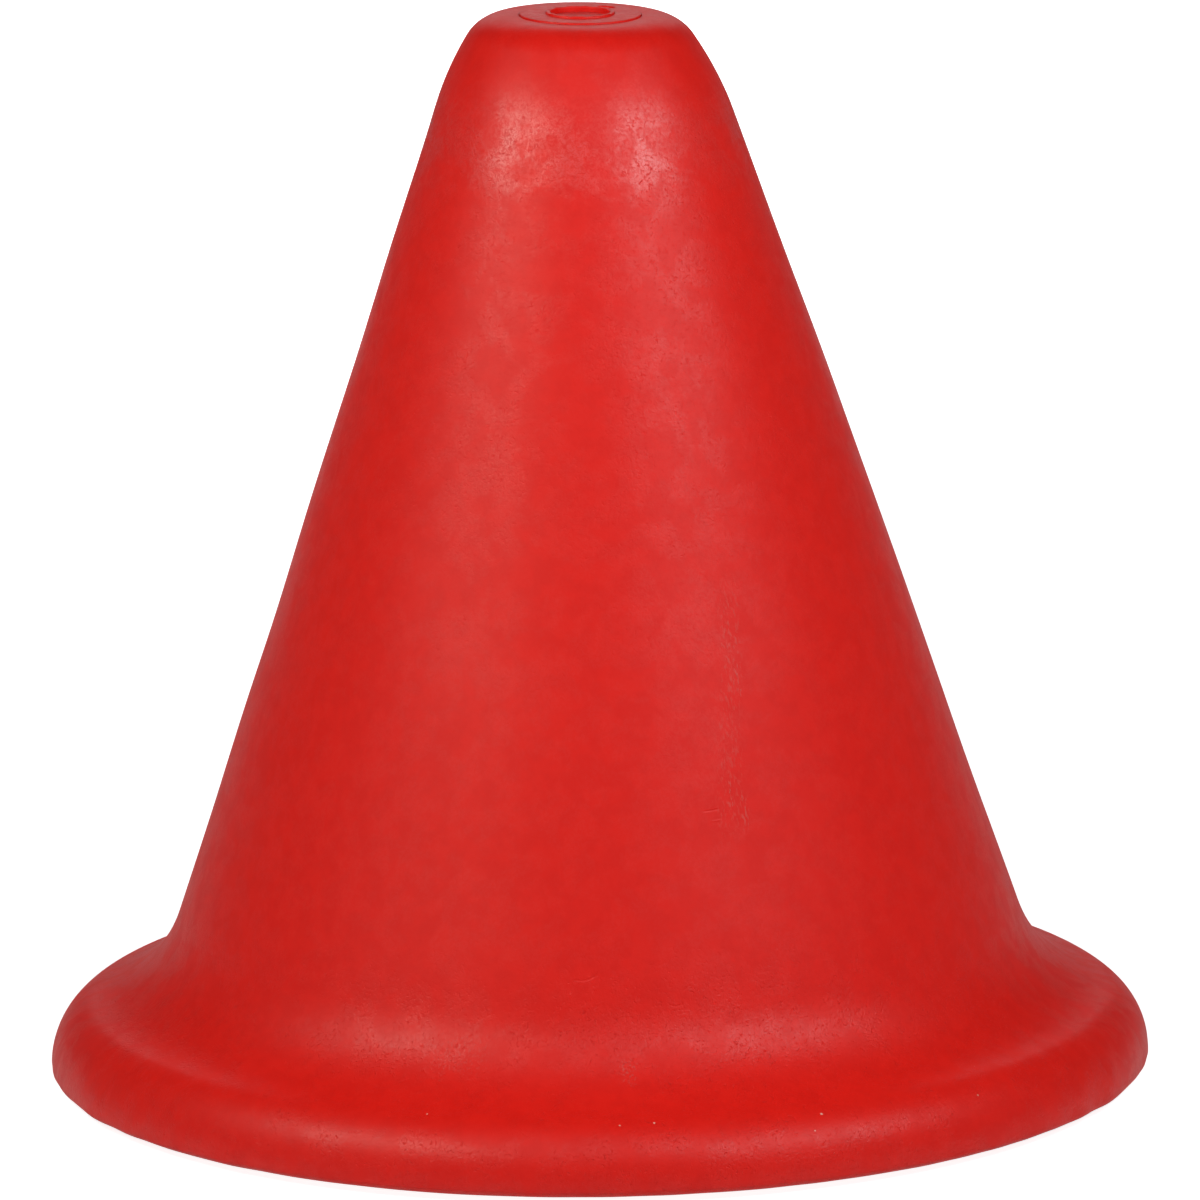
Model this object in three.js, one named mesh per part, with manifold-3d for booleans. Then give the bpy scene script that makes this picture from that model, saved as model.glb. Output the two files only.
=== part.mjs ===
// Round-footed marker cone in soft moulded PVC: a closed, air-filled body, the valve collar moulded
// into its crown and the plug that closes the valve. Millimetres, +Z up, origin under the foot's centre.
import * as THREE from "three";
import { mergeVertices } from "three/addons/utils/BufferGeometryUtils.js";
import Module from "manifold-3d";

// Driving dimensions of the cone's outside
const HEIGHT = 200;
const FOOT_RADIUS = 103;
const FOOT_EDGE_REACH = 11;
const FOOT_EDGE_RISE = 2.5;
const NOSE_REACH = 11;
const NOSE_RISE = 12.2;
const NOSE_END_DEG = 69;
const SIDE_BASE_RADIUS = 80.6;
const SIDE_BASE_HEIGHT = 25;
const SHOULDER_RADIUS = 8.5;
const SHOULDER_START_DEG = 32.7;
const EASE_RADIUS = 64;
const CROWN_LAND = 2.9;

// Driving dimensions of the hollow body and its underside
const WALL = 2.5;
const BASE_WALL = 3;
const SEAT_WALL = 1.6;
const PANEL_RISE = 2;
const STANDING_RING_WIDTH = 12;
const PANEL_STEP_WIDTH = 5;

// Driving dimensions of the valve, from its bore outwards
const BORE_RADIUS = 3.8;
const SLEEVE_WALL = 3.7;
const SLEEVE_LENGTH = 17;
const POCKET_LEDGE = 1.7;
const LIP_WIDTH = 0.9;
const LIP_HEIGHT = 0.4;
const FLANGE_WIDTH = 4.7;
const FLANGE_THICKNESS = 1.6;
const FLANGE_STAND = 0.3;
const PLUG_SUNK = 0.9;
const PLUG_HEAD_THICKNESS = 1.3;
const PLUG_STEM_LENGTH = 14;
const PLUG_TIP_TAPER = 0.9;
const PLUG_TIP_LENGTH = 4;
const NOTCH_LENGTH = 3.4;
const NOTCH_WIDTH = 2.2;
const NOTCH_DEPTH = 0.8;
const NOTCH_BEARING_DEG = 56;

// Clearance round each fitted piece, and how finely round shapes are cut into flats
const FIT_GAP = 0.3;
const BODY_SEGMENTS = 64;
const VALVE_SEGMENTS = 40;
const NOTCH_SEGMENTS = 16;
const ARC_DIVISIONS = 3;
const MERGE_DISTANCE = 1e-4;

const rad = THREE.MathUtils.degToRad;

// Radii and heights that the pieces share
const sleeveRadius = BORE_RADIUS + SLEEVE_WALL;
const pocketRadius = BORE_RADIUS + POCKET_LEDGE;
const lipRadius = pocketRadius + LIP_WIDTH;
const flangeRadius = lipRadius + FLANGE_WIDTH;
const flangeTop = HEIGHT + FLANGE_STAND;
const flangeFloor = flangeTop - FLANGE_THICKNESS;
const lipTop = flangeTop + LIP_HEIGHT;
const plugTop = lipTop - PLUG_SUNK;
const pocketFloor = plugTop - PLUG_HEAD_THICKNESS;
const insideFloor = PANEL_RISE + BASE_WALL;

// The shoulder's and the ease curve's centres: both arcs share the tangent at SHOULDER_START_DEG
const shoulderCentre = new THREE.Vector2(
  flangeRadius + CROWN_LAND,
  HEIGHT - SHOULDER_RADIUS,
);
const shoulderStart = rad(SHOULDER_START_DEG);
const easeCentre = new THREE.Vector2(
  Math.cos(shoulderStart),
  Math.sin(shoulderStart),
)
  .multiplyScalar(SHOULDER_RADIUS - EASE_RADIUS)
  .add(shoulderCentre);

// The straight side leaves its foot point and meets the ease curve as a tangent
const sideFoot = new THREE.Vector2(SIDE_BASE_RADIUS, SIDE_BASE_HEIGHT);
const toEase = easeCentre.clone().sub(sideFoot);
const sideLean = toEase.angle() - Math.acos(-EASE_RADIUS / toEase.length());
const sideNormal = new THREE.Vector2(Math.cos(sideLean), Math.sin(sideLean));

// Where two lines cross, each given by a point and a direction
function crossing(pointA, alongA, pointB, alongB) {
  const t = pointB.clone().sub(pointA).cross(alongB) / alongA.cross(alongB);
  return pointA.clone().addScaledVector(alongA, t);
}

// The body's outline from the foot's widest place to the crown, moved inwards by a wall's thickness
function bodyOutline(inset, startAngle) {
  const noseX = NOSE_REACH - inset;
  const noseZ = NOSE_RISE - inset;
  const noseEnd = rad(NOSE_END_DEG);
  const path = new THREE.Path();
  path.absellipse(
    FOOT_RADIUS - NOSE_REACH,
    FOOT_EDGE_RISE,
    noseX,
    noseZ,
    startAngle,
    noseEnd,
  );
  const filletStart = path.currentPoint.clone();
  const filletAlong = new THREE.Vector2(
    -noseX * Math.sin(noseEnd),
    noseZ * Math.cos(noseEnd),
  );
  const sideStart = sideFoot.clone().addScaledVector(sideNormal, -inset);
  const sideAlong = new THREE.Vector2(-sideNormal.y, sideNormal.x);
  const corner = crossing(filletStart, filletAlong, sideStart, sideAlong);
  path.quadraticCurveTo(corner.x, corner.y, sideStart.x, sideStart.y);
  path.absarc(
    easeCentre.x,
    easeCentre.y,
    EASE_RADIUS - inset,
    sideLean,
    shoulderStart,
  );
  path.absarc(
    shoulderCentre.x,
    shoulderCentre.y,
    SHOULDER_RADIUS - inset,
    shoulderStart,
    Math.PI / 2,
  );
  return path.getPoints(ARC_DIVISIONS);
}

// The underside from the axis out to the foot's widest place
function undersideOutline() {
  const ringOuter = FOOT_RADIUS - FOOT_EDGE_REACH;
  const ringInner = ringOuter - STANDING_RING_WIDTH;
  const panelEdge = ringInner - PANEL_STEP_WIDTH;
  const path = new THREE.Path();
  path.moveTo(0, PANEL_RISE);
  path.lineTo(panelEdge, PANEL_RISE);
  path.bezierCurveTo(
    panelEdge + PANEL_STEP_WIDTH / 2,
    PANEL_RISE,
    ringInner - PANEL_STEP_WIDTH / 2,
    0,
    ringInner,
    0,
  );
  path.lineTo(ringOuter, 0);
  path.absellipse(
    ringOuter,
    FOOT_EDGE_RISE,
    FOOT_EDGE_REACH,
    FOOT_EDGE_RISE,
    -Math.PI / 2,
    0,
  );
  return path.getPoints(ARC_DIVISIONS);
}

// Revolves an outline of (radius, height) points about +Z
function revolve(outline, segments) {
  const points = outline.map(([x, y]) => new THREE.Vector2(x, y));
  return new THREE.LatheGeometry(points, segments).rotateX(Math.PI / 2);
}

// The hollow body, open at the crown where the collar's sleeve goes through
function bodyGeometry() {
  const pairs = (points) => points.map((p) => [p.x, p.y]);
  const floorAngle = Math.asin(
    (insideFloor - FOOT_EDGE_RISE) / (NOSE_RISE - WALL),
  );
  const seatRadius = flangeRadius + FIT_GAP;
  const holeRadius = sleeveRadius + FIT_GAP;
  const seatUnderside = flangeFloor - SEAT_WALL;
  const outline = [
    ...pairs(undersideOutline()),
    ...pairs(bodyOutline(0, 0)).slice(1),
    [seatRadius, HEIGHT],
    [seatRadius, flangeFloor],
    [holeRadius, flangeFloor],
    [holeRadius, seatUnderside],
    [seatRadius, seatUnderside],
    ...pairs(bodyOutline(WALL, floorAngle)).reverse(),
    [0, insideFloor],
  ];
  return revolve(outline, BODY_SEGMENTS);
}

// A closed solid for cutting, from a geometry's positions alone
const wasm = await Module();
wasm.setup();
function solid(geometry) {
  const bare = geometry.clone().deleteAttribute("normal").deleteAttribute("uv");
  const merged = mergeVertices(bare, MERGE_DISTANCE);
  return new wasm.Manifold(
    new wasm.Mesh({
      numProp: 3,
      vertProperties: merged.attributes.position.array,
      triVerts: new Uint32Array(merged.index.array),
    }),
  );
}

// A cut solid's vertices and triangles as a geometry again
function geometryOf(cut) {
  const mesh = cut.getMesh();
  const geometry = new THREE.BufferGeometry();
  geometry.setAttribute(
    "position",
    new THREE.BufferAttribute(mesh.vertProperties, 3),
  );
  geometry.setIndex(new THREE.BufferAttribute(mesh.triVerts, 1));
  geometry.computeVertexNormals();
  return geometry;
}

// The collar: flange in the crown's seat, raised lip, pocket for the plug's head, and the sleeve
function collarGeometry() {
  const sleeveEnd = flangeFloor - SLEEVE_LENGTH;
  const ring = revolve(
    [
      [BORE_RADIUS, sleeveEnd],
      [sleeveRadius, sleeveEnd],
      [sleeveRadius, flangeFloor],
      [flangeRadius, flangeFloor],
      [flangeRadius, flangeTop],
      [lipRadius, flangeTop],
      [lipRadius, lipTop],
      [pocketRadius, lipTop],
      [pocketRadius, pocketFloor],
      [BORE_RADIUS, pocketFloor],
      [BORE_RADIUS, sleeveEnd],
    ],
    VALVE_SEGMENTS,
  );
  // The notch for a fingernail or a blade lies in the flange, halfway from the lip to the edge
  const notchRadius = (lipRadius + flangeRadius) / 2;
  const notch = new THREE.CylinderGeometry(1, 1, 2 * NOTCH_DEPTH, NOTCH_SEGMENTS)
    .rotateX(Math.PI / 2)
    .scale(NOTCH_WIDTH / 2, NOTCH_LENGTH / 2, 1)
    .translate(notchRadius, 0, flangeTop)
    .rotateZ(rad(NOTCH_BEARING_DEG));
  return geometryOf(solid(ring).subtract(solid(notch)));
}

// The plug: a flat head that sits in the collar's pocket, and a stem that narrows to its tip
function plugGeometry() {
  const headRadius = pocketRadius - FIT_GAP;
  const stemRadius = BORE_RADIUS - FIT_GAP;
  const tip = pocketFloor - PLUG_STEM_LENGTH;
  const outline = [
    [0, tip],
    [stemRadius - PLUG_TIP_TAPER, tip],
    [stemRadius, tip + PLUG_TIP_LENGTH],
    [stemRadius, pocketFloor],
    [headRadius, pocketFloor],
    [headRadius, plugTop],
    [0, plugTop],
  ];
  return revolve(outline, VALVE_SEGMENTS);
}

// Satin red for the moulded skin, and a slightly deeper red for the valve's two pieces
const skin = new THREE.MeshStandardMaterial({
  color: 0xc8160e,
  roughness: 0.42,
  metalness: 0,
});
const collarPlastic = new THREE.MeshStandardMaterial({
  color: 0xc4150f,
  roughness: 0.45,
  metalness: 0,
});
const plugPlastic = new THREE.MeshStandardMaterial({
  color: 0xb8120d,
  roughness: 0.5,
  metalness: 0,
});

function named(name, geometry, material) {
  const mesh = new THREE.Mesh(geometry, material);
  mesh.name = name;
  return mesh;
}

const group = new THREE.Group();
group.add(
  named("cone_body", bodyGeometry(), skin),
  named("valve_collar", collarGeometry(), collarPlastic),
  named("valve_plug", plugGeometry(), plugPlastic),
);
export default group;
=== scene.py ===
"""Round-footed marker cone in soft red PVC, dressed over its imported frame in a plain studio.

Metres, +Z up, floor at zero. The camera stands on the -Y side, and a bearing is counted in degrees
from +X towards +Y, so that the front of the cone is at -90.
"""

import logging
import math
from dataclasses import dataclass, replace
from enum import Enum
from typing import ClassVar

import bpy
import numpy as np
from mathutils import Matrix, Vector


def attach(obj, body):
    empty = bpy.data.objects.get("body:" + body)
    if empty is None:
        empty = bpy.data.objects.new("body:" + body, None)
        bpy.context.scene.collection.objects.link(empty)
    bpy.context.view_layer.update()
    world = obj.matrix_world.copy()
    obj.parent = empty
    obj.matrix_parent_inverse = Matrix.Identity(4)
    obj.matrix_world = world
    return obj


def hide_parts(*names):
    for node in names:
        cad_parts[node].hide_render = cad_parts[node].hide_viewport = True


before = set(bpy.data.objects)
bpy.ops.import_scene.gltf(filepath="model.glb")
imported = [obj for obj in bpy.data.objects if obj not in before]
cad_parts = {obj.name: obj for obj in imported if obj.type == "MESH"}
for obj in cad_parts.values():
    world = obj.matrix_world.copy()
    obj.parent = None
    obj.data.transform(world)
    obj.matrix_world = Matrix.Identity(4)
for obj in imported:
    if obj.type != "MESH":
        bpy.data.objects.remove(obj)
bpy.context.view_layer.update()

log = logging.getLogger("marker_cone")

MM = 0.001
SAME_POINT = 1e-7
AXIS_RADIUS = 1e-9
ROUNDING_STEPS = 5

Point = tuple[float, float]
Corner = tuple[float, float, float]
Colour = tuple[float, float, float]
Socket = bpy.types.NodeSocket
Feed = Socket | float | tuple[float, ...]


class Body(Enum):
    """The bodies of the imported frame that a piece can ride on."""

    CONE = "cone"
    PLUG = "plug"


class Slot(Enum):
    """The record's material slots."""

    SKIN = "cone_skin"
    COLLAR = "collar_plastic"
    PLUG = "plug_plastic"


def place(bearing: float, radius: float, height: float) -> Vector:
    """A point round the cone's axis, at a bearing in degrees."""
    turn = math.radians(bearing)
    return Vector((radius * math.cos(turn), radius * math.sin(turn), height))


def eased(share: np.ndarray) -> np.ndarray:
    """A soft step of a share that goes from 0 to 1."""
    return share * share * (3 - 2 * share)


def put(name: str, data: bpy.types.ID) -> bpy.types.Object:
    """Puts a new object in the scene.

    Args:
        name: its name.
        data: its mesh, lamp or camera.

    Returns:
        The object.
    """
    thing = bpy.data.objects.new(name, data)
    bpy.context.scene.collection.objects.link(thing)
    return thing


# Outlines: points of (radius, height), run so that the material lies on the left


def line(start: Point, end: Point, steps: int) -> list[Point]:
    """Evenly spaced points on a straight line, both ends included."""
    return [tuple(p) for p in np.linspace(start, end, steps + 1)]


def arc(centre: Point, reach: Point, start: float, end: float, steps: int) -> list[Point]:
    """Points on an ellipse's arc; reach holds its half sizes, and the angles are in degrees."""
    angles = np.radians(np.linspace(start, end, steps + 1))
    return [(centre[0] + reach[0] * math.cos(a), centre[1] + reach[1] * math.sin(a)) for a in angles]


def bend(start: Point, corner: Point, end: Point, steps: int) -> list[Point]:
    """Points on a curve that leaves start towards corner and reaches end from it.

    Args:
        start: first point.
        corner: where the two end tangents cross.
        end: last point.
        steps: number of spans.

    Returns:
        The points, both ends included.
    """
    a, b, c = (np.array(p) for p in (start, corner, end))
    shares = np.linspace(0.0, 1.0, steps + 1)
    return [tuple((1 - t) ** 2 * a + 2 * t * (1 - t) * b + t * t * c) for t in shares]


def crossing(point_a: Point, along_a: Point, point_b: Point, along_b: Point) -> Point:
    """Where two lines cross.

    Args:
        point_a: a point of the first line.
        along_a: its direction.
        point_b: a point of the second line.
        along_b: its direction.

    Returns:
        The crossing.
    """
    gap = (point_b[0] - point_a[0], point_b[1] - point_a[1])
    turn = along_a[0] * along_b[1] - along_a[1] * along_b[0]
    t = (gap[0] * along_b[1] - gap[1] * along_b[0]) / turn
    return point_a[0] + t * along_a[0], point_a[1] + t * along_a[1]


def rounded(corners: list[Corner]) -> list[Point]:
    """A path through corners that are rounded off.

    Args:
        corners: radius, height and rounding of each corner; the ends aren't rounded.

    Returns:
        The path's points.
    """
    points = [np.array(c[:2]) for c in corners]
    path = [tuple(points[0])]
    for i in range(1, len(corners) - 1):
        back, ahead = points[i - 1] - points[i], points[i + 1] - points[i]
        reach = corners[i][2]
        leave = points[i] + back / np.linalg.norm(back) * reach
        meet = points[i] + ahead / np.linalg.norm(ahead) * reach
        path += bend(tuple(leave), tuple(points[i]), tuple(meet), ROUNDING_STEPS)
    return path + [tuple(points[-1])]


def joined(*runs: list[Point]) -> list[Point]:
    """Runs of points chained into one outline, without the doubles where they meet.

    Args:
        runs: lists of points, in the outline's order.

    Returns:
        The outline.
    """
    outline: list[Point] = []
    for run in runs:
        for point in run:
            if not outline or math.dist(outline[-1], point) > SAME_POINT:
                outline.append(point)
    return outline


# Node helper and the lathe


class Desk:
    """Puts nodes into one tree and links them."""

    def __init__(self, tree: bpy.types.NodeTree) -> None:
        """Starts with an empty tree."""
        self.tree = tree
        tree.nodes.clear()

    def node(
        self, kind: str, feeds: dict[str | int, Feed] | None = None, **settings: str | bool
    ) -> bpy.types.Node:
        """Adds a node.

        Args:
            kind: Blender's name for the node's type.
            feeds: value or socket for each input, by name or number.
            settings: the node's own properties.

        Returns:
            The node.
        """
        node = self.tree.nodes.new(kind)
        for name, value in settings.items():
            setattr(node, name, value)
        for key, value in (feeds or {}).items():
            self.feed(node.inputs[key], value)
        return node

    def feed(self, socket: Socket, value: Feed) -> None:
        """Links a socket to another one, or sets its value.

        Args:
            socket: the input.
            value: the socket that feeds it, or a constant.
        """
        if isinstance(value, Socket):
            self.tree.links.new(value, socket)
        else:
            socket.default_value = value

    def math(self, operation: str, *values: Feed, clamp: bool = False) -> Socket:
        """A Math node's result; clamp keeps it between 0 and 1."""
        feeds = dict(enumerate(values))
        return self.node("ShaderNodeMath", feeds, operation=operation, use_clamp=clamp).outputs[0]

    def vector(self, operation: str, *values: Feed, out: str = "Vector") -> Socket:
        """A Vector Math node's result; out names the output, "Value" for a number."""
        feeds = dict(enumerate(values))
        return self.node("ShaderNodeVectorMath", feeds, operation=operation).outputs[out]

    def fade(
        self,
        value: Feed,
        low: float,
        high: float,
        first: float = 0.0,
        last: float = 1.0,
        kind: str = "SMOOTHSTEP",
    ) -> Socket:
        """A step from first to last as value goes from low to high.

        Args:
            value: what the step follows.
            low: where it starts.
            high: where it ends.
            first: the result up to low.
            last: the result from high on.
            kind: Blender's name for the step's shape.

        Returns:
            The result.
        """
        feeds = {"Value": value, "From Min": low, "From Max": high, "To Min": first, "To Max": last}
        node = self.node("ShaderNodeMapRange", feeds, interpolation_type=kind)
        return node.outputs["Result"]

    def noise(
        self,
        where: Socket,
        size: float,
        detail: float = 2.0,
        roughness: float = 0.5,
        warp: float = 0.0,
    ) -> Socket:
        """A cloudy pattern from 0 to 1.

        Args:
            where: the place.
            size: how wide its features are.
            detail: how many finer layers it has.
            roughness: how strong those are.
            warp: how far it is distorted.

        Returns:
            The pattern's value.
        """
        feeds = {"Vector": where, "Scale": 1.0 / size, "Detail": detail}
        feeds |= {"Roughness": roughness, "Distortion": warp}
        return self.node("ShaderNodeTexNoise", feeds).outputs["Fac"]

    def mixed(self, factor: Socket, first: Colour | Socket, second: Colour | Socket) -> Socket:
        """A colour between two.

        Args:
            factor: 0 for the first colour, 1 for the second.
            first: a colour or its socket.
            second: a colour or its socket.

        Returns:
            The mixed colour.
        """
        node = self.node("ShaderNodeMix", data_type="RGBA")
        self.feed(node.inputs["Factor"], factor)
        for key, colour in (("A", first), ("B", second)):
            socket = next(s for s in node.inputs if s.name == key and s.type == "RGBA")
            self.feed(socket, colour if isinstance(colour, Socket) else (*colour, 1.0))
        return next(s for s in node.outputs if s.type == "RGBA")


class Lathe:
    """A Geometry Nodes tree that turns an outline round the Z axis into a closed solid."""

    INPUTS = {
        "Segments": ("NodeSocketInt", 96),
        "Weld Distance": ("NodeSocketFloat", 2e-6),
        "Sharp Angle": ("NodeSocketFloat", 0.7),
        "Finish": ("NodeSocketMaterial", None),
    }

    def __init__(self) -> None:
        """Builds the tree."""
        self.tree = bpy.data.node_groups.new("lathe", "GeometryNodeTree")
        self.sockets: dict[str, str] = {}
        face = self.tree.interface
        face.new_socket("Geometry", in_out="INPUT", socket_type="NodeSocketGeometry")
        for name, (kind, value) in self.INPUTS.items():
            socket = face.new_socket(name, in_out="INPUT", socket_type=kind)
            if value is not None:
                socket.default_value = value
            self.sockets[name] = socket.identifier
        face.new_socket("Geometry", in_out="OUTPUT", socket_type="NodeSocketGeometry")
        self._lay_nodes()

    def _lay_nodes(self) -> None:
        """A grid of rows and segments, whose rows take their radius and height from the outline."""
        desk = Desk(self.tree)
        given = desk.node("NodeGroupInput").outputs
        outline = given["Geometry"]
        size = desk.node("GeometryNodeAttributeDomainSize", {"Geometry": outline})
        rows, segments = size.outputs["Point Count"], given["Segments"]
        feeds = {"Vertices X": desk.math("ADD", segments, 1.0), "Vertices Y": rows}
        grid = desk.node("GeometryNodeMeshGrid", feeds)
        # Half a step keeps the quotient from falling just short of a whole number
        index = desk.node("GeometryNodeInputIndex").outputs[0]
        column = desk.math("FLOOR", desk.math("DIVIDE", desk.math("ADD", index, 0.5), rows))
        row = desk.math("ROUND", desk.math("SUBTRACT", index, desk.math("MULTIPLY", column, rows)))
        step = desk.math("DIVIDE", math.tau, segments)
        turn = desk.math("MULTIPLY", desk.math("MODULO", column, segments), step)
        feeds = {"Geometry": outline, "Index": row}
        kinds = {"data_type": "FLOAT_VECTOR", "domain": "POINT"}
        sample = desk.node("GeometryNodeSampleIndex", feeds, **kinds)
        position = desk.node("GeometryNodeInputPosition").outputs[0]
        desk.feed(next(s for s in sample.inputs if s.name == "Value"), position)
        parts = desk.node("ShaderNodeSeparateXYZ", {0: sample.outputs[0]}).outputs
        across = desk.math("MULTIPLY", parts["X"], desk.math("COSINE", turn))
        depth = desk.math("MULTIPLY", parts["X"], desk.math("SINE", turn))
        spot = desk.node("ShaderNodeCombineXYZ", {"X": across, "Y": depth, "Z": parts["Z"]})
        feeds = {"Geometry": grid.outputs["Mesh"], "Position": spot.outputs[0]}
        placed = desk.node("GeometryNodeSetPosition", feeds)
        feeds = {"Geometry": placed.outputs[0], "Distance": given["Weld Distance"]}
        welded = desk.node("GeometryNodeMergeByDistance", feeds)
        smooth = desk.node("GeometryNodeSetShadeSmooth", {"Geometry": welded.outputs[0]})
        angle = desk.node("GeometryNodeInputMeshEdgeAngle").outputs["Unsigned Angle"]
        sharp = desk.math("GREATER_THAN", angle, given["Sharp Angle"])
        feeds = {"Geometry": smooth.outputs[0], "Selection": sharp, "Shade Smooth": False}
        edged = desk.node("GeometryNodeSetShadeSmooth", feeds, domain="EDGE")
        real = desk.node("GeometryNodeRealizeInstances", {"Geometry": edged.outputs[0]})
        feeds = {"Geometry": real.outputs[0], "Material": given["Finish"]}
        dressed = desk.node("GeometryNodeSetMaterial", feeds)
        desk.node("NodeGroupOutput", {"Geometry": dressed.outputs[0]})

    def turn(
        self, name: str, outline: list[Point], segments: int, finish: bpy.types.Material
    ) -> bpy.types.Object:
        """Turns one outline.

        Args:
            name: the piece's name.
            outline: points of (radius, height), with the material on their left.
            segments: flats round the axis.
            finish: the material of the whole piece.

        Returns:
            A plain mesh object at the origin.
        """
        wire = bpy.data.meshes.new(name + ".outline")
        points = [(radius, 0.0, height) for radius, height in outline]
        wire.from_pydata(points, [(i, i + 1) for i in range(len(points) - 1)], [])
        blank = put(name + ".blank", wire)
        modifier = blank.modifiers.new("lathe", "NODES")
        modifier.node_group = self.tree
        modifier[self.sockets["Segments"]] = segments
        modifier[self.sockets["Finish"]] = finish
        graph = bpy.context.evaluated_depsgraph_get()
        mesh = bpy.data.meshes.new_from_object(blank.evaluated_get(graph), depsgraph=graph)
        bpy.data.objects.remove(blank)
        bpy.data.meshes.remove(wire)
        mesh.name = name
        return put(name, mesh)


# The moulding's unevenness


@dataclass(frozen=True)
class Swell:
    """A place where the skin stands proud of the true cone, or sinks where rise is negative."""

    bearing: float
    height: float
    reach: float
    rise: float


@dataclass(frozen=True)
class Ripple:
    """A smooth seeded unevenness over space, with waves of about one size."""

    rise: float
    size: float
    seed: int
    waves: int = 14
    slowest: float = 0.6
    quickest: float = 1.6

    def at(self, points: np.ndarray) -> np.ndarray:
        """How far each point rises or sinks.

        Args:
            points: rows of x, y and z.

        Returns:
            One value for each point, about from -rise to rise.
        """
        draw = np.random.default_rng(self.seed)
        direction = draw.normal(size=(self.waves, 3))
        direction /= np.linalg.norm(direction, axis=1)[:, None]
        pace = math.tau / self.size * draw.uniform(self.slowest, self.quickest, self.waves)
        phase = draw.uniform(0.0, math.tau, self.waves)
        total = np.sin(points @ (direction * pace[:, None]).T + phase).sum(axis=1)
        return self.rise * (total / math.sqrt(self.waves))


@dataclass(frozen=True)
class Settling:
    """How the soft moulding has cooled away from a true body of revolution."""

    lean: float = 0.00986
    bow: float = -0.0754
    crown_tilt: float = 0.0157
    tilt_from: float = 0.130
    tilt_to: float = 0.180
    seat_height: float = 0.196

    def moved(self, points: np.ndarray) -> np.ndarray:
        """Bows the axis and tilts the crown.

        Args:
            points: rows of x, y and z.

        Returns:
            The points in their settled places.
        """
        settled = points.copy()
        height = np.minimum(points[:, 2], self.seat_height)
        settled[:, 0] += self.lean * height + self.bow * height**2
        share = np.clip((points[:, 2] - self.tilt_from) / (self.tilt_to - self.tilt_from), 0, 1)
        settled[:, 2] -= self.crown_tilt * points[:, 0] * eased(share)
        return settled


# Finishes


@dataclass(frozen=True)
class Speck:
    """A small pale spot in the skin's colour."""

    bearing: float
    radius: float
    height: float
    size: float


@dataclass(frozen=True)
class Crease:
    """A fine groove along part of a circle against the cone, or a ridge of negative depth."""

    bearing: float
    radius: float
    height: float
    curl: float
    start: float
    end: float
    depth: float
    width: float = 0.35 * MM
    taper: float = 20.0

    def groove(self, desk: Desk, where: Socket) -> Socket:
        """Where the crease runs.

        Args:
            desk: the material's desk.
            where: the place.

        Returns:
            1 along its middle and 0 beside it.
        """
        centre = tuple(place(self.bearing, self.radius, self.height))
        sideways = tuple(place(self.bearing + 90.0, 1.0, 0.0))
        away = desk.vector("SUBTRACT", where, centre)
        reach = desk.vector("LENGTH", away, out="Value")
        across = desk.vector("DOT_PRODUCT", away, sideways, out="Value")
        rise = desk.node("ShaderNodeSeparateXYZ", {0: away}).outputs["Z"]
        turn = desk.math("ARCTAN2", rise, across)
        near = desk.math("ABSOLUTE", desk.math("SUBTRACT", reach, self.curl))
        groove = desk.fade(near, 0.0, self.width, 1.0, 0.0)
        low, high, taper = (math.radians(a) for a in (self.start, self.end, self.taper))
        groove = desk.math("MULTIPLY", groove, desk.fade(turn, low, low + taper))
        return desk.math("MULTIPLY", groove, desk.fade(turn, high - taper, high, 1.0, 0.0))


@dataclass(frozen=True)
class ScuffAndGlint:
    """An upright strip of fine pale raised lines, from a low place to a high one: scratches, except
    the two on the fillet, whose pale lines are painted glints of its highlight.
    """

    low_bearing: float
    high_bearing: float
    half_turn: float
    low: float
    high: float
    strength: float


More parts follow.
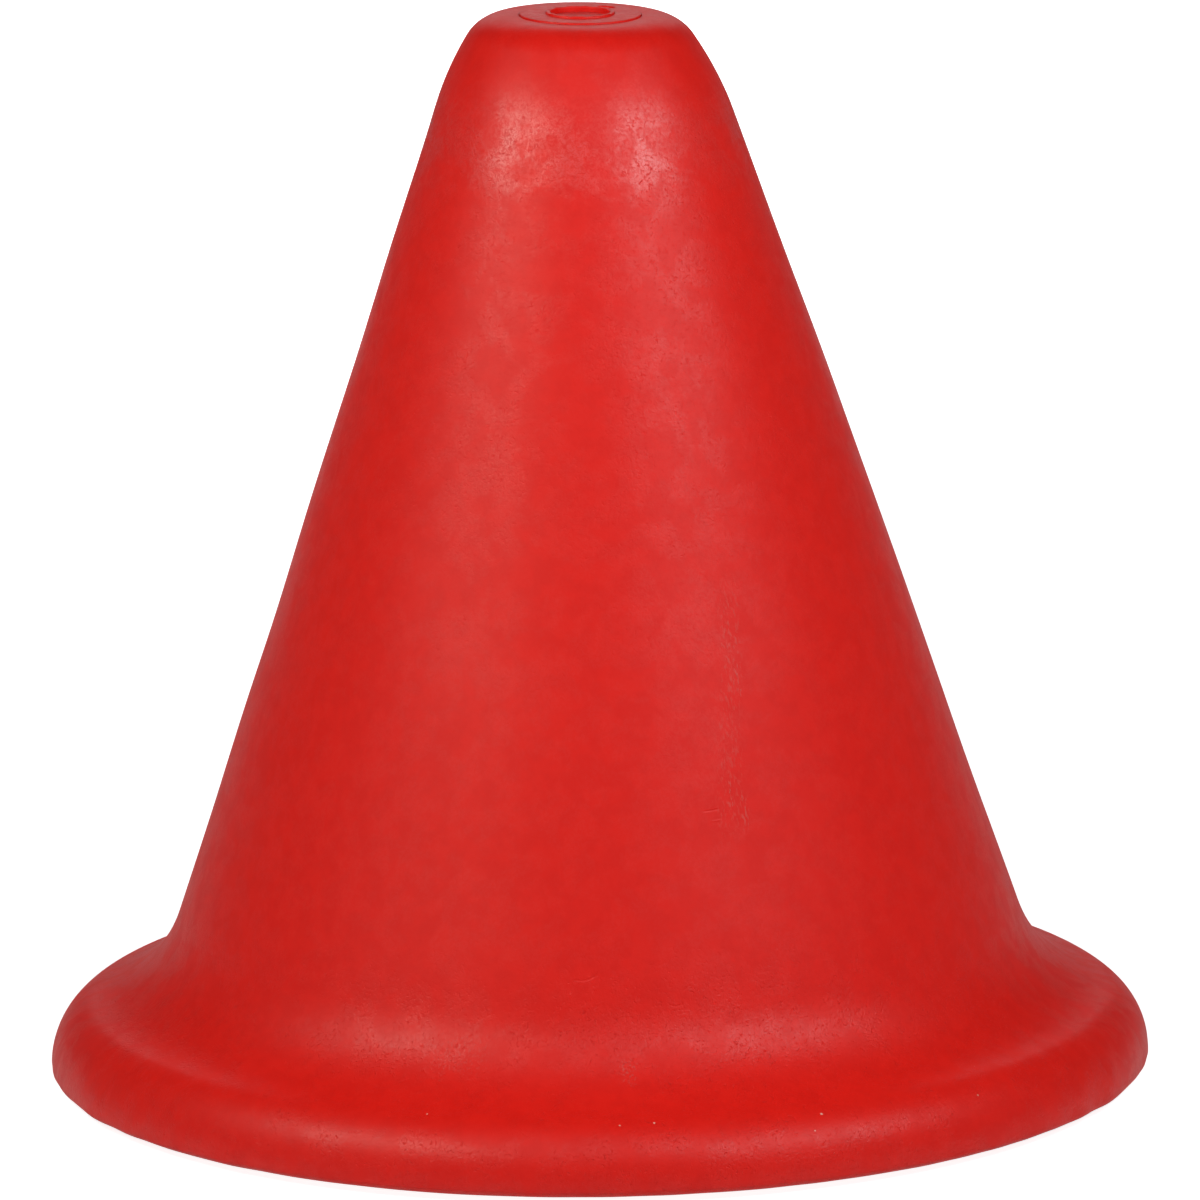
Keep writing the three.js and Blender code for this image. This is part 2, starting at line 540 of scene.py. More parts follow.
@dataclass(frozen=True)
class SoftPvc:
    """Satin soft PVC: patches of fine leathery grain between calmer places.

    Fields that end in "edges" are the pattern values between which a step runs.
    """

    name: str
    colour: Colour = (0.80, 0.0135, 0.0082)
    deep_colour: Colour = (0.76, 0.0120, 0.0074)
    tone_share: float = 0.6
    tone_edges: Point = (0.35, 0.65)
    grained_roughness: float = 0.40
    calm_roughness: float = 0.46
    specular: float = 0.22
    crest_polish: float = 1.0
    hollow_polish: float = 0.45
    crest_edges: Point = (0.38, 0.62)
    polish_roughness: float = 0.34
    polish_ior: float = 1.7
    grain: float = 0.60 * MM
    grain_height: float = 0.060 * MM
    pit_depth: float = 0.040 * MM
    pit_edges: Point = (0.28, 0.38)
    patch: float = 7.0 * MM
    patch_edges: Point = (0.40, 0.58)
    quiet_grain: float = 0.35
    side_grain: float = 0.22
    foot_grain: float = 1.40
    side_polish: float = 0.22
    foot_polish: float = 0.20
    drift: float = 6.0 * MM
    drift_height: float = 0.050 * MM
    neck_low: float = 0.060
    neck_full: float = 0.178
    polish_low: float = 0.168
    polish_full: float = 0.181
    calm_from: float = 0.181
    calm_to: float = 0.192
    calm_share: float = 0.22
    wander: float = 14.0 * MM
    foot_full: float = 0.028
    foot_high: float = 0.044

    def material(self) -> bpy.types.Material:
        """Builds the node material.

        Returns:
            The material, which reads Object coordinates.
        """
        material = bpy.data.materials.new(self.name)
        material.use_nodes = True
        desk = Desk(material.node_tree)
        where = desk.node("ShaderNodeTexCoord").outputs["Object"]
        grained_neck = (self.neck_low, self.neck_full)
        polished_neck = (self.polish_low, self.polish_full)
        worked = self._worked(desk, where, grained_neck, self.side_grain, self.foot_grain)
        polished = self._worked(desk, where, polished_neck, self.side_polish, self.foot_polish)
        burrs_and_glints = self._scratches_and_glints(desk, where)
        feeds = {"Height": self._marks(desk, where, burrs_and_glints), "Strength": 1.0, "Distance": 1.0}
        marked = desk.node("ShaderNodeBump", feeds).outputs[0]
        grain = desk.noise(where, self.grain, roughness=0.6, warp=0.8)
        pits = desk.fade(grain, *self.pit_edges, -self.pit_depth, 0.0)
        relief = desk.math("MULTIPLY_ADD", grain, self.grain_height, pits)
        feeds = {"Height": relief, "Strength": worked, "Distance": 1.0, "Normal": marked}
        grained = desk.node("ShaderNodeBump", feeds).outputs[0]
        spread = self.grained_roughness - self.calm_roughness
        shine = desk.math("MULTIPLY_ADD", worked, spread, self.calm_roughness)
        tone = desk.noise(where, self.tone_share * self.patch, roughness=0.6)
        deep = desk.fade(tone, *self.tone_edges)
        colour = desk.mixed(deep, self.colour, self.deep_colour)
        crests = desk.fade(grain, *self.crest_edges, self.hollow_polish, self.crest_polish)
        feeds = {
            "Base Color": self._tints(desk, where, colour, burrs_and_glints),
            "Metallic": 0.0,
            "Roughness": shine,
            "Specular IOR Level": self.specular,
            "Normal": grained,
            "Coat Weight": desk.math("MULTIPLY", polished, crests),
            "Coat Roughness": self.polish_roughness,
            "Coat IOR": self.polish_ior,
            "Coat Normal": grained,
        }
        shader = desk.node("ShaderNodeBsdfPrincipled", feeds)
        desk.node("ShaderNodeOutputMaterial", {"Surface": shader.outputs[0]})
        return material

    def _worked(self, desk: Desk, where: Socket, rim: Point, side: float, base: float) -> Socket:
        """How worked each place is: most in the leathery patches of the neck and the foot.

        Args:
            desk: the material's desk.
            where: the place.
            rim: heights at which the neck's zone starts and is at full strength.
            side: strength on the side, below the neck.
            base: strength on the foot.

        Returns:
            The strength, 1 in the neck's patches.
        """
        cloud = desk.noise(where, self.patch, detail=3.0, roughness=0.62, warp=0.4)
        patches = desk.fade(cloud, *self.patch_edges, self.quiet_grain, 1.0)
        height = desk.node("ShaderNodeSeparateXYZ", {0: where}).outputs["Z"]
        shift = desk.math("MULTIPLY_ADD", cloud, self.wander, -0.5 * self.wander)
        rise = desk.math("ADD", height, shift)
        neck = desk.fade(rise, *rim, side, 1.0)
        foot = desk.fade(rise, self.foot_full, self.foot_high, base, side)
        zone = desk.math("MAXIMUM", neck, foot)
        crown = desk.fade(rise, self.calm_from, self.calm_to, 1.0, self.calm_share)
        return desk.math("MULTIPLY", patches, desk.math("MULTIPLY", zone, crown))

    def _scratches_and_glints(self, desk: Desk, where: Socket) -> Feed:
        """How much each place is lined, by scratches and by painted glints; nowhere here."""
        return 0.0

    def _marks(self, desk: Desk, where: Socket, burrs_and_glints: Feed) -> Socket:
        """The height in metres of the soft waves in the surface, and of this finish's own marks."""
        wave = desk.noise(where, self.drift, detail=1.0)
        return desk.math("MULTIPLY", wave, self.drift_height)

    def _tints(self, desk: Desk, where: Socket, colour: Socket, burrs_and_glints: Feed) -> Socket:
        """The colour with this finish's own specks; plain here."""
        return colour


@dataclass(frozen=True)
class WornSkin(SoftPvc):
    """The cone's skin, with its specks, creases, scratches and painted glints."""

    speck_colour: Colour = (0.80, 0.42, 0.34)
    speck_core: float = 0.4
    # Pale colour of the scratches; on the two strips on the fillet it is a painted glint.
    scuff_and_glint_colour: Colour = (0.72, 0.060, 0.050)
    strip_fade: float = 0.3
    scratch: Point = (0.45 * MM, 7.0 * MM)
    scratch_edges: Point = (0.50, 0.66)
    scratch_height: float = 0.018 * MM
    specks: tuple[Speck, ...] = ()
    creases: tuple[Crease, ...] = ()
    scuffs_and_glints: tuple[ScuffAndGlint, ...] = ()

    def _marks(self, desk: Desk, where: Socket, burrs_and_glints: Feed) -> Socket:
        """The soft waves, with the creases sunk in and the fine lines raised.

        Args:
            desk: the material's desk.
            where: the place.
            burrs_and_glints: how much it is lined, by scratches and by painted glints.

        Returns:
            The height in metres.
        """
        waves = super()._marks(desk, where, burrs_and_glints)
        height = desk.math("MULTIPLY_ADD", burrs_and_glints, self.scratch_height, waves)
        for crease in self.creases:
            height = desk.math("MULTIPLY_ADD", crease.groove(desk, where), -crease.depth, height)
        return height

    def _scratches_and_glints(self, desk: Desk, where: Socket) -> Socket:
        """Fine upright lines within the strips: scratches, and painted glints on the fillet.

        Args:
            desk: the material's desk.
            where: the place.

        Returns:
            1 on the lines and 0 off them.
        """
        across, depth, height = desk.node("ShaderNodeSeparateXYZ", {0: where}).outputs
        bearing = desk.math("ARCTAN2", depth, across)
        flat = desk.vector("MULTIPLY", where, (1.0, 1.0, self.scratch[0] / self.scratch[1]))
        pattern = desk.noise(flat, self.scratch[0], roughness=0.6)
        lines = desk.fade(pattern, *self.scratch_edges)
        total = 0.0
        for pale_strip in self.scuffs_and_glints:
            low, high = math.radians(pale_strip.low_bearing), math.radians(pale_strip.high_bearing)
            middle = desk.fade(height, pale_strip.low, pale_strip.high, low, high, "LINEAR")
            off = desk.math("ABSOLUTE", desk.math("SUBTRACT", bearing, middle))
            edge = math.radians(pale_strip.half_turn)
            strip = desk.fade(off, self.strip_fade * edge, edge, pale_strip.strength, 0.0)
            ends = self.strip_fade * (pale_strip.high - pale_strip.low)
            strip = desk.math("MULTIPLY", strip, desk.fade(height, pale_strip.low, pale_strip.low + ends))
            top = desk.fade(height, pale_strip.high - ends, pale_strip.high, 1.0, 0.0)
            total = desk.math("MULTIPLY_ADD", strip, top, total)
        return desk.math("MULTIPLY", lines, total)

    def _tints(self, desk: Desk, where: Socket, colour: Socket, burrs_and_glints: Feed) -> Socket:
        """Pale specks, scratches and painted glints over the colour.

        Args:
            desk: the material's desk.
            where: the place.
            colour: the plain colour.
            burrs_and_glints: how much the place is lined, by scratches and by painted glints.

        Returns:
            The colour with its marks.
        """
        # Pale lines: scratches, and painted glints of the highlight on the fillet.
        colour = desk.mixed(burrs_and_glints, colour, self.scuff_and_glint_colour)
        for speck in self.specks:
            centre = tuple(place(speck.bearing, speck.radius, speck.height))
            reach = desk.vector("DISTANCE", where, centre, out="Value")
            spot = desk.fade(reach, self.speck_core * speck.size, speck.size, 1.0, 0.0)
            colour = desk.mixed(spot, colour, self.speck_colour)
        return colour


# The pieces


class TurnedPiece:
    """A piece that is turned from its outline, made uneven, and settled with the moulding."""

    name: ClassVar[str]
    body: ClassVar[Body]
    node: ClassVar[str]
    slot: ClassVar[Slot]
    segments: int

    def outline(self) -> list[Point]:
        """The closed outline; each piece has its own."""
        raise NotImplementedError

    def uneven(self, points: np.ndarray) -> np.ndarray:
        """The points with the piece's own unevenness; none here."""
        return points

    def build(self, lathe: Lathe, finish: SoftPvc, settling: Settling) -> None:
        """Makes the piece, and puts it on its body in place of its CAD node.

        Args:
            lathe: the tree that turns outlines.
            finish: the piece's finish.
            settling: how the moulding has cooled.
        """
        piece = lathe.turn(self.name, self.outline(), self.segments, finish.material())
        mesh = piece.data
        flat = np.empty(len(mesh.vertices) * 3)
        mesh.vertices.foreach_get("co", flat)
        points = settling.moved(self.uneven(flat.reshape(-1, 3)))
        mesh.vertices.foreach_set("co", points.ravel())
        mesh.update()
        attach(piece, self.body.value)
        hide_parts(self.node)
        mesh.calc_loop_triangles()
        triangles = len(mesh.loop_triangles)
        log.info("%s: %d triangles, on body %s", piece.name, triangles, self.body.value)


@dataclass
class ConeSkin(TurnedPiece):
    """The hollow moulded body."""

    name = "cone_body_skin"
    body = Body.CONE
    node = "cone_body"
    slot = Slot.SKIN

    height: float = 0.200
    foot_radius: float = 0.103
    foot_edge_reach: float = 0.011
    foot_edge_rise: float = 0.0025
    nose_reach: float = 0.011
    nose_rise: float = 0.0122
    nose_end: float = 75.0
    side_base: Point = (0.07893, 0.0300)
    shoulder_radius: float = 0.0085
    shoulder_start: float = 32.7
    ease_radius: float = 0.064
    shoulder_out: float = 0.0140
    wall: float = 0.0025
    panel_rise: float = 0.002
    inside_floor: float = 0.005
    ring_inner: float = 0.080
    panel_edge: float = 0.075
    seat_radius: float = 0.01134
    seat_rounding: float = 0.00022
    seat_floor: float = 0.1987
    seat_underside: float = 0.1971
    hole_radius: float = 0.0078

    segments: int = 288
    nose_steps: int = 6
    fillet_steps: int = 4
    side_steps: int = 16
    ease_steps: int = 5
    shoulder_steps: int = 4
    edge_steps: int = 12
    floor_steps: int = 5
    ring_steps: int = 4
    outside_fineness: int = 4

    waves: Ripple = Ripple(0.00007, 0.045, 3)
    waves_full: float = 0.012
    calm_from: float = 0.185
    calm_over: float = 0.010
    trimmed: Ripple = Ripple(0.00012, 0.011, 8)
    trimmed_height: float = 0.006
    trimmed_from: float = 0.094
    trimmed_over: float = 0.006
    swells: tuple[Swell, ...] = ()

    def side_outline(self, inset: float, start: float, fine: int) -> list[Point]:
        """The outline from the foot's widest place to the crown.

        Args:
            inset: how far it is moved inwards, as for the wall's inner face.
            start: angle on the foot's nose where it starts, in degrees.
            fine: how finely it is divided; 1 is coarse.

        Returns:
            The outline's points.
        """
        nose_centre = (self.foot_radius - self.nose_reach, self.foot_edge_rise)
        nose = (self.nose_reach - inset, self.nose_rise - inset)
        end = math.radians(self.nose_end)
        along = (-nose[0] * math.sin(end), nose[1] * math.cos(end))
        shoulder = (self.shoulder_out, self.height - self.shoulder_radius)
        first = math.radians(self.shoulder_start)
        back = self.shoulder_radius - self.ease_radius
        ease = (shoulder[0] + back * math.cos(first), shoulder[1] + back * math.sin(first))
        to_ease = (ease[0] - self.side_base[0], ease[1] - self.side_base[1])
        tangent = math.acos(-self.ease_radius / math.hypot(*to_ease))
        lean = math.atan2(to_ease[1], to_ease[0]) - tangent
        normal = (math.cos(lean), math.sin(lean))
        foot = (self.side_base[0] - inset * normal[0], self.side_base[1] - inset * normal[1])
        nose_run = arc(nose_centre, nose, start, self.nose_end, self.nose_steps * fine)
        corner = crossing(nose_run[-1], along, foot, (-normal[1], normal[0]))
        reach = (self.ease_radius - inset,) * 2
        ease_steps = self.ease_steps * fine
        ease_run = arc(ease, reach, math.degrees(lean), self.shoulder_start, ease_steps)
        reach = (self.shoulder_radius - inset,) * 2
        return joined(
            nose_run,
            bend(nose_run[-1], corner, foot, self.fillet_steps * fine),
            line(foot, ease_run[0], self.side_steps * fine),
            ease_run,
            arc(shoulder, reach, self.shoulder_start, 90.0, self.shoulder_steps * fine),
        )

    def outline(self) -> list[Point]:
        """The whole outline: underside, outside, the collar's seat, and back down the inside.

        Returns:
            The closed outline.
        """
        ring_outer = self.foot_radius - self.foot_edge_reach
        middle = (self.panel_edge + self.ring_inner) / 2
        step_middle = (middle, self.panel_rise / 2)
        edge_reach = (self.foot_edge_reach, self.foot_edge_rise)
        nose_rise = self.nose_rise - self.wall
        floor_angle = math.degrees(math.asin((self.inside_floor - self.foot_edge_rise) / nose_rise))
        inner = self.side_outline(self.wall, floor_angle, 1)
        seat = [
            (self.shoulder_out, self.height, 0.0),
            (self.seat_radius, self.height, self.seat_rounding),
            (self.seat_radius, self.seat_floor, 0.0),
            (self.hole_radius, self.seat_floor, 0.0),
            (self.hole_radius, self.seat_underside, 0.0),
            (inner[-1][0], self.seat_underside, 0.0),
        ]
        panel_edge = (self.panel_edge, self.panel_rise)
        return joined(
            line((0.0, self.panel_rise), panel_edge, self.floor_steps),
            bend(panel_edge, (middle, self.panel_rise), step_middle, self.ring_steps),
            bend(step_middle, (middle, 0.0), (self.ring_inner, 0.0), self.ring_steps),
            line((self.ring_inner, 0.0), (ring_outer, 0.0), self.ring_steps),
            arc((ring_outer, self.foot_edge_rise), edge_reach, -90.0, 0.0, self.edge_steps),
            self.side_outline(0.0, 0.0, self.outside_fineness),
            rounded(seat),
            inner[::-1],
            line(inner[0], (0.0, self.inside_floor), self.floor_steps),
        )

    def uneven(self, points: np.ndarray) -> np.ndarray:
        """Adds the moulding's soft waves, its swells and the ragged trimmed edge of the foot.

        Args:
            points: rows of x, y and z.

        Returns:
            The changed points.
        """
        out = points.copy()
        radius = np.maximum(np.hypot(points[:, 0], points[:, 1]), AXIS_RADIUS)
        outward = points[:, :2] / radius[:, None]
        height = points[:, 2]
        above = np.clip(height / self.waves_full, 0, 1)
        calm = 1 - np.clip((height - self.calm_from) / self.calm_over, 0, 1)
        push = self.waves.at(points) * above * calm
        low = np.clip(1 - height / self.trimmed_height, 0, 1)
        edge = low * np.clip((radius - self.trimmed_from) / self.trimmed_over, 0, 1)
        push += self.trimmed.at(points) * edge
        for swell in self.swells:
            centre = np.array(place(swell.bearing, self.radius_at(swell.height), swell.height))
            near = np.clip(1 - np.linalg.norm(points - centre, axis=1) / swell.reach, 0, 1)
            push += swell.rise * eased(near)
        out[:, :2] += outward * push[:, None]
        return out

    def radius_at(self, height: float) -> float:
        """The true cone's radius at a height."""
        side = self.side_outline(0.0, 0.0, self.outside_fineness)
        return float(np.interp(height, [p[1] for p in side], [p[0] for p in side]))


@dataclass
class ValveCollar(TurnedPiece):
    """The valve seat in the crown, with its flange, raised lip, pocket and sleeve."""

    name = "valve_collar_ring"
    body = Body.CONE
    node = "valve_collar"
    slot = Slot.COLLAR

    bore_radius: float = 0.0038
    sleeve_radius: float = 0.0075
    pocket_radius: float = 0.0055
    lip_radius: float = 0.0064
    flange_radius: float = 0.01122
    sleeve_end: float = 0.1817
    flange_floor: float = 0.1987
    flange_top: float = 0.2003
    lip_top: float = 0.2007
    pocket_floor: float = 0.1985

    fine_rounding: float = 0.0002
    sleeve_rounding: float = 0.0005
    flange_rounding: float = 0.00028
    lip_rounding: float = 0.00022
    mouth_rounding: float = 0.00026
    bore_rounding: float = 0.0003
    land_margin: float = 0.0004
    land_steps: int = 26
    segments: int = 216

    notch_bearing: float = 56.0
    notch_radius: float = 0.00875
    notch_length: float = 0.0034
    notch_width: float = 0.0022
    notch_depth: float = 0.0008
    notch_rim: float = 1.08
    notch_slope: float = 0.35
    top_margin: float = 0.0001
    lip_ripple: Ripple = Ripple(0.00005, 0.0022, 21)
    lip_fade: float = 0.0002

    def outline(self) -> list[Point]:
        """The closed outline round the ring's section.

        Returns:
            The outline.
        """
        land = line(
            (self.flange_radius - self.land_margin, self.flange_top),
            (self.lip_radius + self.land_margin, self.flange_top),
            self.land_steps,
        )
        sleeve = [
            (self.bore_radius, self.sleeve_end, 0.0),
            (self.sleeve_radius, self.sleeve_end, self.sleeve_rounding),
            (self.sleeve_radius, self.flange_floor, 0.0),
            (self.flange_radius, self.flange_floor, self.fine_rounding),
            (self.flange_radius, self.flange_top, self.flange_rounding),
            (*land[0], 0.0),
        ]
        lip = [
            (*land[-1], 0.0),
            (self.lip_radius, self.flange_top, self.fine_rounding),
            (self.lip_radius, self.lip_top, self.lip_rounding),
            (self.pocket_radius, self.lip_top, self.mouth_rounding),
            (self.pocket_radius, self.pocket_floor, self.fine_rounding),
            (self.bore_radius, self.pocket_floor, self.bore_rounding),
            (self.bore_radius, self.sleeve_end, 0.0),
        ]
        return joined(rounded(sleeve), land, rounded(lip))

    def uneven(self, points: np.ndarray) -> np.ndarray:
        """Sinks the lifting notch and makes the lip uneven.

        Args:
            points: rows of x, y and z.

        Returns:
            The changed points.
        """
        out = points.copy()
        centre = place(self.notch_bearing, self.notch_radius, 0.0)
        spoke = place(self.notch_bearing, 1.0, 0.0)
        away = points[:, :2] - np.array(centre[:2])
        along = away @ np.array(spoke[:2]) / (self.notch_width / 2)
        across = away @ np.array((-spoke.y, spoke.x)) / (self.notch_length / 2)
        depth = np.clip((self.notch_rim - np.hypot(along, across)) / self.notch_slope, 0, 1)
        top = points[:, 2] > self.flange_top - self.top_margin
        out[:, 2] -= np.where(top, self.notch_depth * eased(depth), 0.0)
        above = points[:, 2] - self.flange_top - self.top_margin
        out[:, 2] += np.clip(above / self.lip_fade, 0, 1) * self.lip_ripple.at(points)
        return out


@dataclass
class ValvePlug(TurnedPiece):
    """The plug that closes the valve: a sunk round head on a tapering stem."""

    name = "valve_plug_head"
    body = Body.PLUG
    node = "valve_plug"
    slot = Slot.PLUG

    head_radius: float = 0.0052
    stem_radius: float = 0.0035
    tip_radius: float = 0.0026
    tip_height: float = 0.1845
    taper_top: float = 0.1885
    head_floor: float = 0.1985
    head_top: float = 0.1998
    dish: float = 0.00018
    dish_margin: float = 0.0009
    dish_slope: float = 0.0008
    tip_rounding: float = 0.0004
    taper_rounding: float = 0.0008
    fine_rounding: float = 0.0002
    head_rounding: float = 0.0003
    dish_steps: int = 12
    segments: int = 128

    def outline(self) -> list[Point]:
        """The outline from the tip round the head to its middle.

        Returns:
            The outline.
        """
        rim = self.head_radius - self.dish_margin
        bottom = self.head_top - self.dish
        corners = [
            (0.0, self.tip_height, 0.0),
            (self.tip_radius, self.tip_height, self.tip_rounding),
            (self.stem_radius, self.taper_top, self.taper_rounding),
            (self.stem_radius, self.head_floor, self.fine_rounding),
            (self.head_radius, self.head_floor, self.fine_rounding),
            (self.head_radius, self.head_top, self.head_rounding),
            (rim, self.head_top, 0.0),
        ]
        dished = bend(
            (rim, self.head_top), (rim - self.dish_slope, bottom), (0.0, bottom), self.dish_steps
        )
        return joined(rounded(corners), dished)


# The studio


@dataclass(frozen=True)
class Softbox:
    """A rectangular lamp that faces the cone."""

    name: str
    bearing: float
    elevation: float
    distance: float
    width: float
    height: float
    power: float
    colour: Colour = (1.0, 1.0, 1.0)
    aim_height: float = 0.09
    glossy: bool = True

    def hang(self) -> None:
        """Puts the lamp in the scene."""
        lamp = bpy.data.lights.new(self.name, "AREA")
        lamp.shape = "RECTANGLE"
        lamp.size, lamp.size_y = self.width, self.height
        lamp.energy = self.power
        lamp.color = self.colour
        rise = math.radians(self.elevation)
        aim = Vector((0.0, 0.0, self.aim_height))
        reach = self.distance * math.cos(rise)
        spot = aim + place(self.bearing, reach, self.distance * math.sin(rise))
        box = put(self.name, lamp)
        box.location = spot
        box.rotation_euler = (spot - aim).to_track_quat("Z", "Y").to_euler()
        box.visible_camera = False
        box.visible_glossy = self.glossy


@dataclass(frozen=True)
class PhotoCamera:
    """The camera at the photograph's viewing angle, as fitted to the cone's outline."""

    lens: float = 360.0
    sensor: float = 36.0
    clip: Point = (0.1, 50.0)
    distance: float = 2.2403
    drop: float = 12.011
    aim_height: float = 0.097
    roll: float = -0.754
    pitch: float = 0.1931
    yaw: float = -0.0332

    def rows(self) -> np.ndarray:
        """The camera's directions.

        Returns:
            Rows that point to its right, down and forward.
        """
        angles = (self.drop, self.roll, self.pitch, self.yaw)
        drop, roll, pitch, yaw = (math.radians(a) for a in angles)
        sine, cosine = math.sin(drop), math.cos(drop)
        level = np.array([[1.0, 0.0, 0.0], [0.0, -sine, -cosine], [0.0, cosine, -sine]])
        nod = Matrix.Rotation(pitch, 3, "X")
        swing = Matrix.Rotation(yaw, 3, "Y")
        tip = Matrix.Rotation(roll, 3, "Z")
        return np.array(tip @ nod @ swing) @ level

    def stand(self) -> None:
        """Puts the camera in the scene and makes it the scene's own."""
        data = bpy.data.cameras.new("camera")
        data.lens, data.sensor_width = self.lens, self.sensor
        data.clip_start, data.clip_end = self.clip
        drop = math.radians(self.drop)
        right, down, forward = self.rows()
        turned = Matrix(np.column_stack([right, -down, -forward]).tolist()).to_4x4()
        rise = math.sin(drop) * self.distance + self.aim_height
        spot = Matrix.Translation((0.0, -math.cos(drop) * self.distance, rise))
        camera = put("camera", data)
        camera.matrix_world = spot @ turned
        bpy.context.scene.camera = camera


@dataclass(frozen=True)
class Studio:
    """A pale floor, a pale surround near the horizon and soft lamps."""

    floor_radius: float = 6.0
    floor_drop: float = 0.0001
    floor_corners: int = 96
    floor_colour: Colour = (0.60, 0.60, 0.60)
    glow_front: float = 0.22
    glow_back: float = 0.02
    glow_from: float = -0.25
    glow_to: float = 0.12
    fill_near: float = 0.78
    fill_far: float = 0.95
    fill_reach: float = 0.9
    gloss_share: float = 0.06
    surround: float = 0.08
    surround_low: float = 0.05
    surround_high: float = 0.45
    overhead: float = 0.05
    white_far: float = 0.9
    lamps: tuple[Softbox, ...] = (
        Softbox("lamp_left", -140.5, 34.0, 0.60, 0.40, 0.14, 1.25, (1.0, 0.96, 0.84)),
        Softbox("lamp_right", -44.0, 34.0, 0.60, 0.40, 0.16, 1.20, (1.0, 0.98, 0.98)),
        Softbox("lamp_front", -90.0, 41.0, 0.70, 0.50, 0.32, 0.46),
        Softbox("lamp_high", -90.0, 60.0, 0.70, 0.50, 0.20, 0.24),
        Softbox("lamp_far_left", -165.0, 35.0, 0.80, 0.40, 0.40, 0.78, glossy=False),
        Softbox("lamp_far_right", -15.0, 35.0, 0.80, 0.40, 0.40, 0.94, glossy=False),
        Softbox("lamp_back", 90.0, 27.0, 1.30, 0.80, 0.70, 1.20),
        Softbox("lamp_back_low", 90.0, 9.0, 1.30, 1.10, 0.30, 6.00, glossy=False),
    )

    def seen(self, desk: Desk, share: Feed) -> Socket:
        """How much of the white background a ray sees.

        Args:
            desk: the material's or the world's desk.
            share: what the rays see that a gloss or a glass sends on.

        Returns:
            1 for the camera's own rays, and share for those others.
        """
        path = desk.node("ShaderNodeLightPath").outputs
        sent = desk.math("ADD", path["Is Glossy Ray"], path["Is Transmission Ray"])
        return desk.math("MULTIPLY_ADD", sent, share, path["Is Camera Ray"], clamp=True)

    def floor_material(self) -> bpy.types.Material:
        """A matt pale floor that the camera sees as white, apart from the shadow on it.

        Returns:
            The material.
        """
        material = bpy.data.materials.new("studio_floor")
        material.use_nodes = True
        desk = Desk(material.node_tree)
        matt = desk.node("ShaderNodeBsdfDiffuse", {"Color": (*self.floor_colour, 1.0)})
        glow = desk.node("ShaderNodeEmission", {"Color": (1.0, 1.0, 1.0, 1.0)})
        where = desk.node("ShaderNodeTexCoord").outputs["Object"]
        reach = desk.vector("LENGTH", where, out="Value")
        depth = desk.node("ShaderNodeSeparateXYZ", {0: where}).outputs["Y"]
        card = desk.fade(depth, self.glow_from, self.glow_to, self.glow_front, self.glow_back)
        fill = desk.fade(reach, 0.0, self.fill_reach, self.fill_near, self.fill_far)
        strength = desk.math("MULTIPLY_ADD", self.seen(desk, self.gloss_share), fill, card)
        desk.feed(glow.inputs["Strength"], strength)
        both = desk.node("ShaderNodeAddShader", {0: matt.outputs[0], 1: glow.outputs[0]})
        desk.node("ShaderNodeOutputMaterial", {"Surface": both.outputs[0]})
        return material

    def floor(self) -> None:
        """Lays a round floor that keeps the cone's shadow."""
        corners = range(self.floor_corners)
        turn = 360.0 / self.floor_corners
        ring = [place(turn * i, self.floor_radius, -self.floor_drop) for i in corners]
        mesh = bpy.data.meshes.new("studio_floor")
        mesh.from_pydata([tuple(p) for p in ring], [], [list(corners)])
        mesh.materials.append(self.floor_material())
        floor = put("studio_floor", mesh)

    def world(self) -> None:
        """Sets a world that is seen as white round the horizon, and lights dimly."""
        world = bpy.data.worlds.new("studio")
        world.use_nodes = True
        desk = Desk(world.node_tree)
        ray = desk.node("ShaderNodeTexCoord").outputs["Generated"]
        rise = desk.node("ShaderNodeSeparateXYZ", {0: ray}).outputs["Z"]
        band = desk.fade(rise, self.surround_low, self.surround_high, 1.0, self.overhead)
        seen = self.seen(desk, desk.math("MULTIPLY", band, self.gloss_share))
        strength = desk.math("MULTIPLY", band, self.surround)
        strength = desk.math("MULTIPLY_ADD", seen, self.white_far, strength)
        white = desk.node("ShaderNodeBackground", {"Strength": strength})
        white.inputs["Color"].default_value = (1.0, 1.0, 1.0, 1.0)
        desk.node("ShaderNodeOutputWorld", {"Surface": white.outputs[0]})
        bpy.context.scene.world = world

    def build(self) -> None:
        """Sets the floor, the world, the lamps and the view settings."""
        self.floor()
        self.world()
        for lamp in self.lamps:
            lamp.hang()
        bpy.context.scene.view_settings.view_transform = "Standard"
        log.info("studio: floor, world and %d lamps", len(self.lamps))


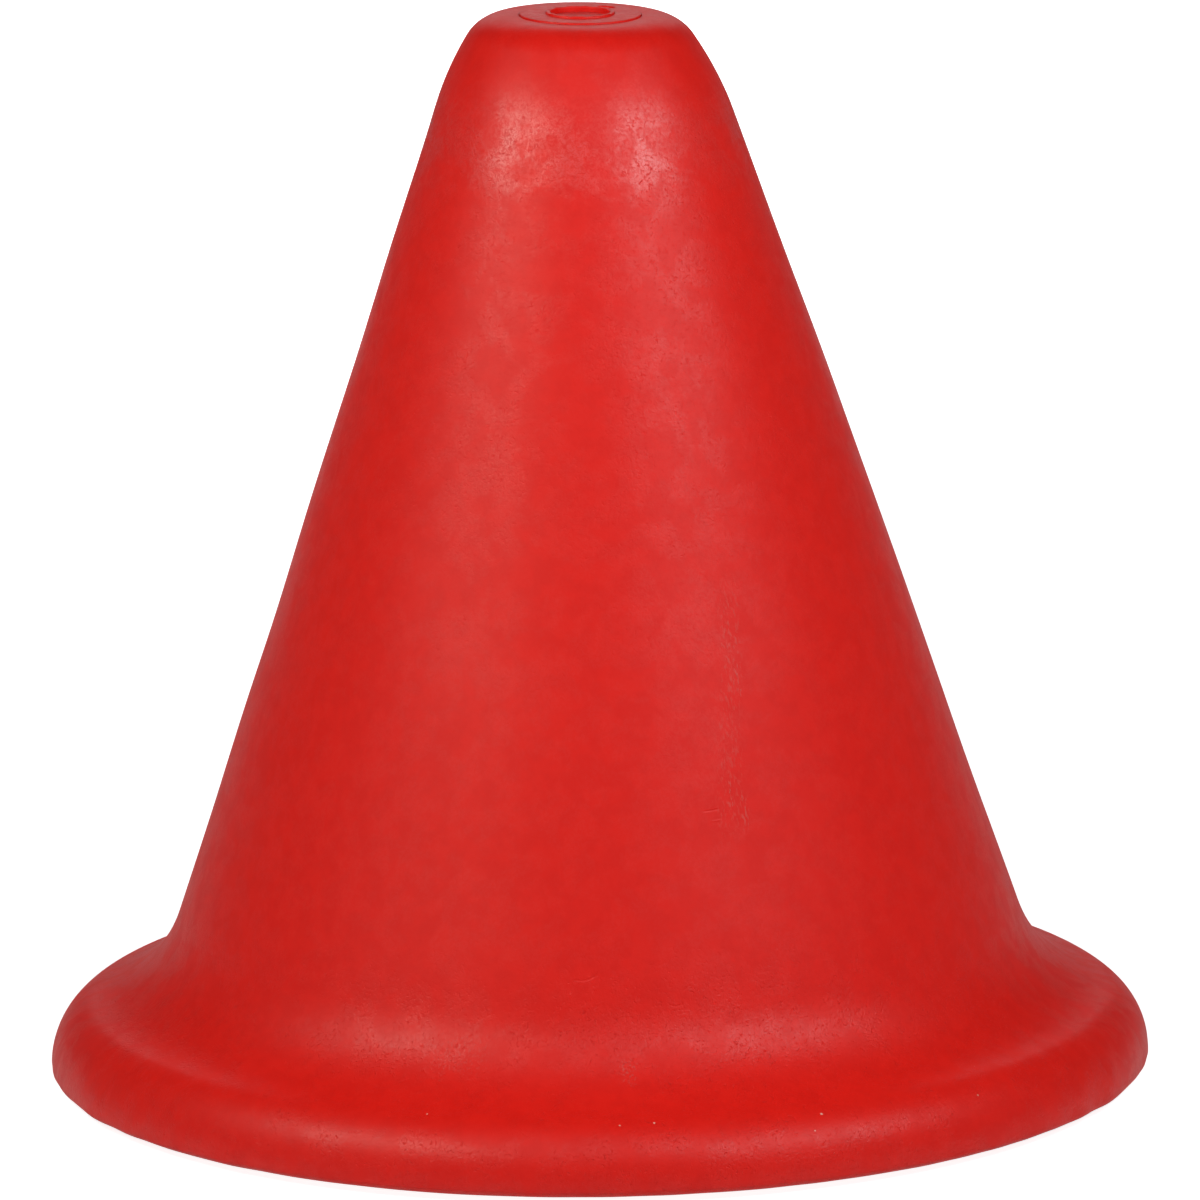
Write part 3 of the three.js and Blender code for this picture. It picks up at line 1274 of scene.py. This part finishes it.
SKIN = WornSkin(
    "cone_skin_pvc",
    specks=(
        Speck(-42.7, 0.0935, 0.0150, 0.00030),
        Speck(-46.1, 0.0995, 0.0115, 0.00025),
        Speck(-65.8, 0.0978, 0.0129, 0.00035),
        Speck(-67.2, 0.1002, 0.0106, 0.00022),
        Speck(-84.2, 0.0968, 0.0135, 0.00028),
        Speck(-86.0, 0.0935, 0.0150, 0.00020),
        Speck(-87.9, 0.0971, 0.0133, 0.00024),
        Speck(-89.0, 0.0815, 0.0233, 0.00030),
        Speck(-109.1, 0.0954, 0.0141, 0.00024),
    ),
    creases=(
        Crease(-92.2, 0.0760, 0.0388, 3.7 * MM, -118.0, -36.0, 0.050 * MM),
        Crease(-79.6, 0.0782, 0.0322, 1.9 * MM, -135.0, -40.0, 0.030 * MM),
        Crease(-81.6, 0.0757, 0.0395, 8.0 * MM, -58.0, -44.0, 0.030 * MM, 0.25 * MM, 4.0),
        Crease(-73.4, 0.0613, 0.0826, 20.0 * MM, -90.0, -79.0, 0.045 * MM, 0.28 * MM, 3.0),
        Crease(-72.0, 0.0619, 0.0808, 20.0 * MM, -91.0, -84.0, -0.025 * MM, 0.28 * MM, 2.0),
    ),
    scuffs_and_glints=(
        ScuffAndGlint(-66.4, -62.8, 3.0, 0.078, 0.106, 0.7),
        ScuffAndGlint(-70.0, -66.4, 3.4, 0.054, 0.086, 0.5),
        ScuffAndGlint(-64.3, -63.9, 0.8, 0.082, 0.090, 1.0),
        ScuffAndGlint(-68.7, -68.5, 0.6, 0.063, 0.069, 1.0),
        ScuffAndGlint(-66.6, -66.2, 0.9, 0.059, 0.067, 1.0),
        # These two strips on the fillet are painted glints of its highlight: pale lines with a small
        # raised edge.
        ScuffAndGlint(-86.4, -86.4, 1.6, 0.0178, 0.0228, 0.9),
        ScuffAndGlint(-108.0, -108.0, 6.0, 0.0180, 0.0270, 0.5),
    ),
)
COLLAR = SoftPvc(
    "collar_pvc",
    crest_polish=0.25,
    hollow_polish=0.08,
    grain_height=0.06 * MM,
    patch=3.0 * MM,
    drift=3.0 * MM,
    calm_from=0.9,
    calm_to=1.0,
)
# The plug is the collar's PVC with a darker red: painted shade for its head, which sits sunk in the
# pocket.
PLUG = replace(
    COLLAR,
    name="plug_pvc_painted_shade",
    colour=(0.70, 0.0120, 0.0075),
    deep_colour=(0.63, 0.0100, 0.0062),
    grain_height=0.05 * MM,
)
SWELLS = (
    Swell(-155.0, 0.0022, 0.0075, 0.00040),
    Swell(-148.0, 0.0020, 0.0060, 0.00020),
    Swell(-22.6, 0.0022, 0.0075, 0.00045),
    Swell(2.0, 0.0060, 0.0450, 0.00036),
    Swell(-30.0, 0.0020, 0.0060, 0.00018),
    Swell(180.0, 0.178, 0.030, -0.00035),
    Swell(180.0, 0.110, 0.030, 0.00022),
    Swell(0.0, 0.063, 0.034, -0.00025),
)


def main() -> None:
    """Builds the studio and each piece in order."""
    logging.basicConfig(level=logging.INFO, format="%(name)s: %(message)s")
    PhotoCamera().stand()
    Studio().build()
    lathe = Lathe()
    settling = Settling()
    ConeSkin(swells=SWELLS).build(lathe, SKIN, settling)
    ValveCollar().build(lathe, COLLAR, settling)
    ValvePlug().build(lathe, PLUG, settling)


if __name__ == "__main__":
    main()
